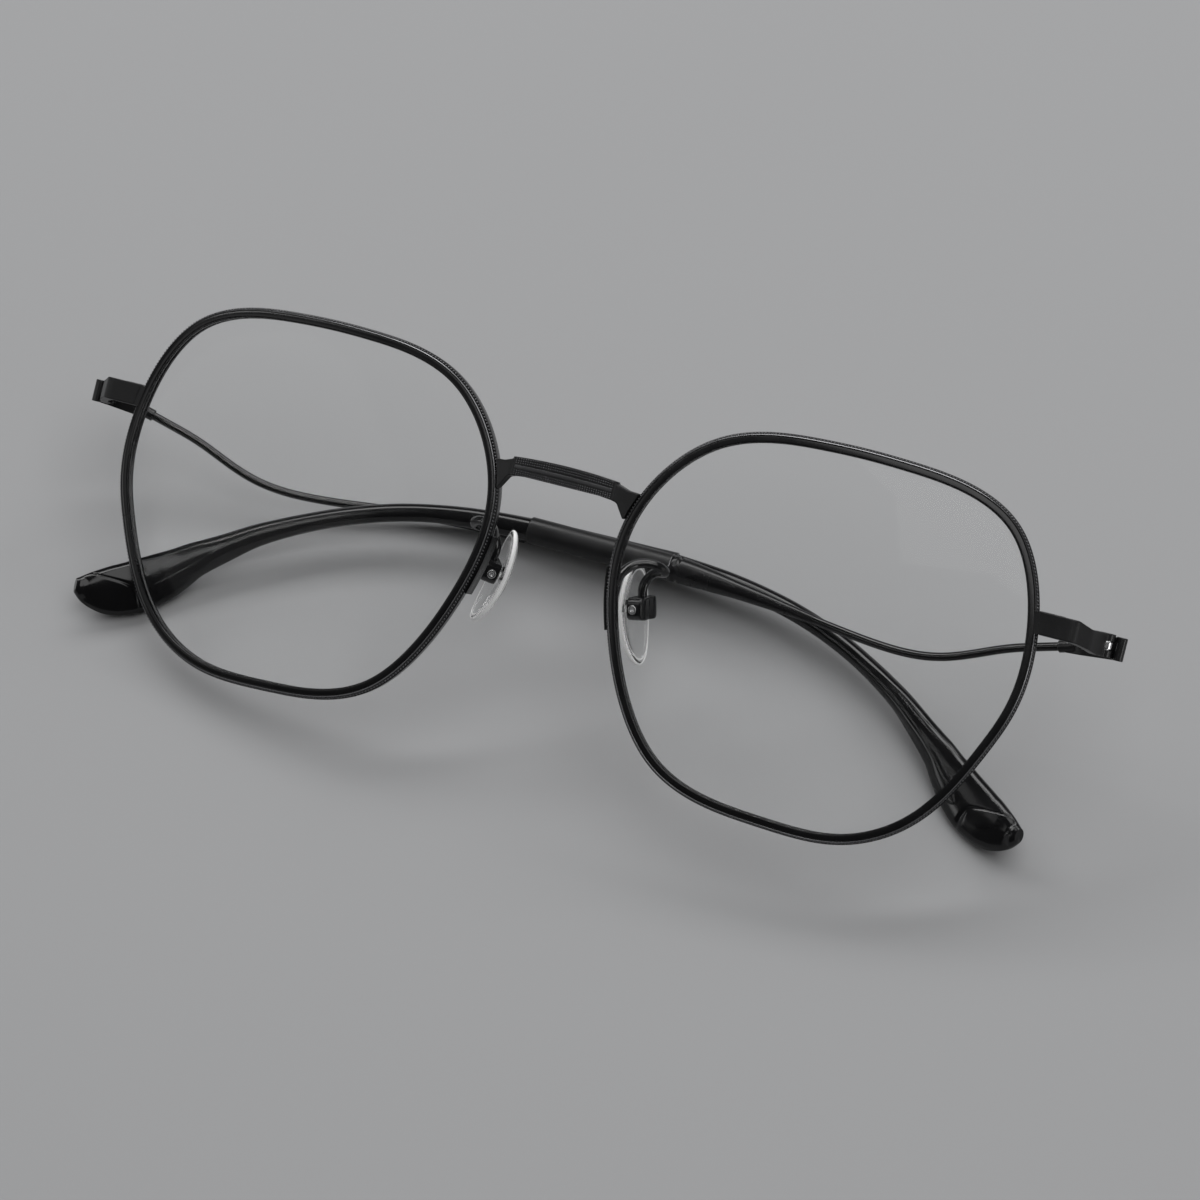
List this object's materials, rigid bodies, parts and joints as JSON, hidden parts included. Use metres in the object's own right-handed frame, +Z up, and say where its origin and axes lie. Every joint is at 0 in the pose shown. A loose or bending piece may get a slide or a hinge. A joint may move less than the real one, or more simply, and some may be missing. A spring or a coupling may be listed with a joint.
{
  "type": "eyeglasses",
  "caption": "Many-sided metal eyeglasses with clear lenses, a flat top bridge, clear nose pads on wire arms and thin folding temples with paddle tips.",
  "frame": {"origin": "centre of the folded glasses' box, on the table they lie on", "axes": "+X along the front from the left lens to the right one as seen from the front, +Y the way the frame's top points along the table, +Z up"},
  "size_m": [0.1408, 0.0416, 0.0348],
  "materials": {
    "rim": "semi-gloss black",
    "satin_black": "satin black",
    "hinge_black": "semi-gloss black",
    "wire": "gloss black",
    "steel": "polished steel",
    "tip": "gloss black",
    "lens": "clear",
    "pad": "clear soft plastic"
  },
  "bodies": {
    "front": {"bridge": "rim", "rim_left": "rim", "rim_right": "rim", "lens_left": "lens", "lens_right": "lens", "end_piece_left": "satin_black", "end_piece_right": "satin_black", "rim_lock_left": "rim", "rim_lock_right": "rim", "lock_screw_left": "steel", "lock_screw_right": "steel", "front_hinge_left": "hinge_black", "front_hinge_right": "hinge_black", "hinge_screw_left": "steel", "hinge_screw_right": "steel", "pad_arm_left": "wire", "pad_arm_right": "wire", "pad_box_left": "wire", "pad_box_right": "wire", "pad_screw_left": "steel", "pad_screw_right": "steel"},
    "temple_left": {"hinge_barrel_left": "steel", "temple_leaf_left": "satin_black", "temple_wire_left": "rim", "temple_cone_left": "rim", "temple_sleeve_left": "satin_black", "temple_tip_left": "tip"},
    "temple_right": {"hinge_barrel_right": "steel", "temple_leaf_right": "satin_black", "temple_wire_right": "rim", "temple_cone_right": "rim", "temple_sleeve_right": "satin_black", "temple_tip_right": "tip"},
    "pad_left": {"nose_pad_left": "pad"},
    "pad_right": {"nose_pad_right": "pad"}
  },
  "joints": [
    {"name": "temple_left_hinge", "type": "hinge", "parent": "front", "child": "temple_left", "pos_m": [-0.06798, 0.01129, 0.01253], "axis": [-0.0276, 0.836, 0.548], "range_deg": [0, 85]},
    {"name": "temple_right_hinge", "type": "hinge", "parent": "front", "child": "temple_right", "pos_m": [0.06795, 0.01129, 0.01939], "axis": [0.0276, -0.836, -0.548], "range_deg": [0, 88]},
    {"name": "pad_left_tilt", "type": "hinge", "parent": "front", "child": "pad_left", "pos_m": [-0.01031, 0.00244, 0.01112], "axis": [0.486, -0.6628, 0.5697], "range_deg": [-5, 5]},
    {"name": "pad_right_tilt", "type": "hinge", "parent": "front", "child": "pad_right", "pos_m": [0.01069, 0.00242, 0.0122], "axis": [-0.2568, -0.6913, 0.6754], "range_deg": [-5, 5]}
  ]
}
